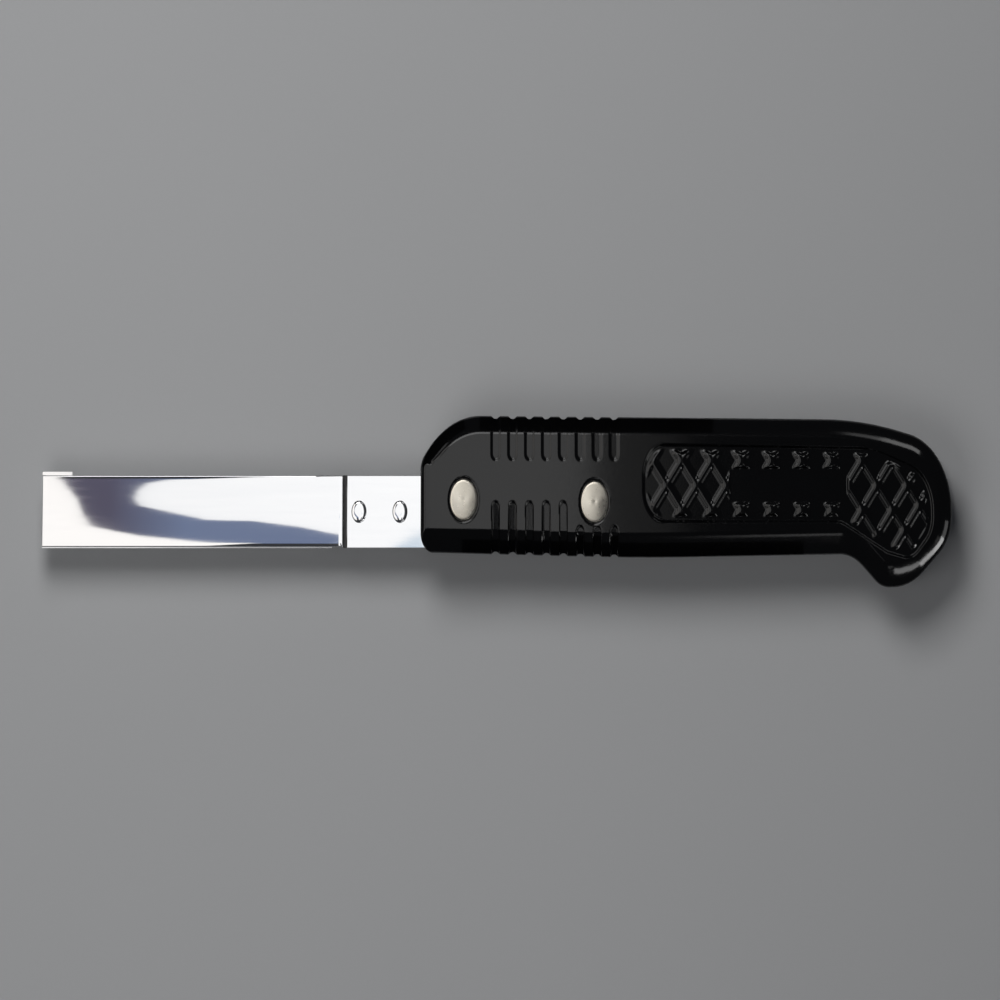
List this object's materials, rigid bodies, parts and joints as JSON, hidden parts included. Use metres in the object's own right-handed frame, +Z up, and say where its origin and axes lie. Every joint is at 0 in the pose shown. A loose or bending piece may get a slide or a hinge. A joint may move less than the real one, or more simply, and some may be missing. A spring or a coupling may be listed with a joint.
{
  "type": "replaceable-blade trimming knife",
  "caption": "Long trimming knife: a mirror-polished hinged plate clamps a thin straight blade on a steel holder, riveted into a fluted black grip with a curled butt.",
  "frame": {"origin": "middle of the knife's bounding box, on the surface that the knife lies on", "axes": "+X from the tip to the butt of the grip, +Y towards the spine, +Z up, out of the face that carries the clamp plate"},
  "size_m": [0.2508, 0.0316, 0.016],
  "materials": {
    "grip_resin": "semi-gloss black moulded resin",
    "polished_steel": "mirror-polished stainless",
    "stainless_plate": "fine satin stainless",
    "blade_steel": "ground stainless",
    "rivet_metal": "spun, warm light metal"
  },
  "bodies": {
    "handle": {"holder_plate": "stainless_plate", "clamp_hinge_pin": "stainless_plate", "bolster_plate": "polished_steel", "bolster_rivet_fore": "polished_steel", "bolster_rivet_aft": "polished_steel", "grip_half_upper": "grip_resin", "grip_half_lower": "grip_resin", "grip_rivet_post_fore": "rivet_metal", "grip_rivet_cap_fore": "rivet_metal", "grip_rivet_post_aft": "rivet_metal", "grip_rivet_cap_aft": "rivet_metal", "grip_dowel_mid": "stainless_plate", "grip_dowel_butt": "stainless_plate"},
    "clamp": {"clamp_plate": "polished_steel"},
    "blade": {"blade": "blade_steel"}
  },
  "joints": [
    {"name": "clamp_hinge", "type": "hinge", "parent": "handle", "child": "clamp", "pos_m": [-0.0438, -0.0019, 0.0075], "axis": [0, 1, 0], "range_deg": [0, 18]},
    {"name": "blade_slide", "type": "slide", "parent": "handle", "child": "blade", "axis": [-1, 0, 0], "range_m": [0, 0.08]}
  ]
}
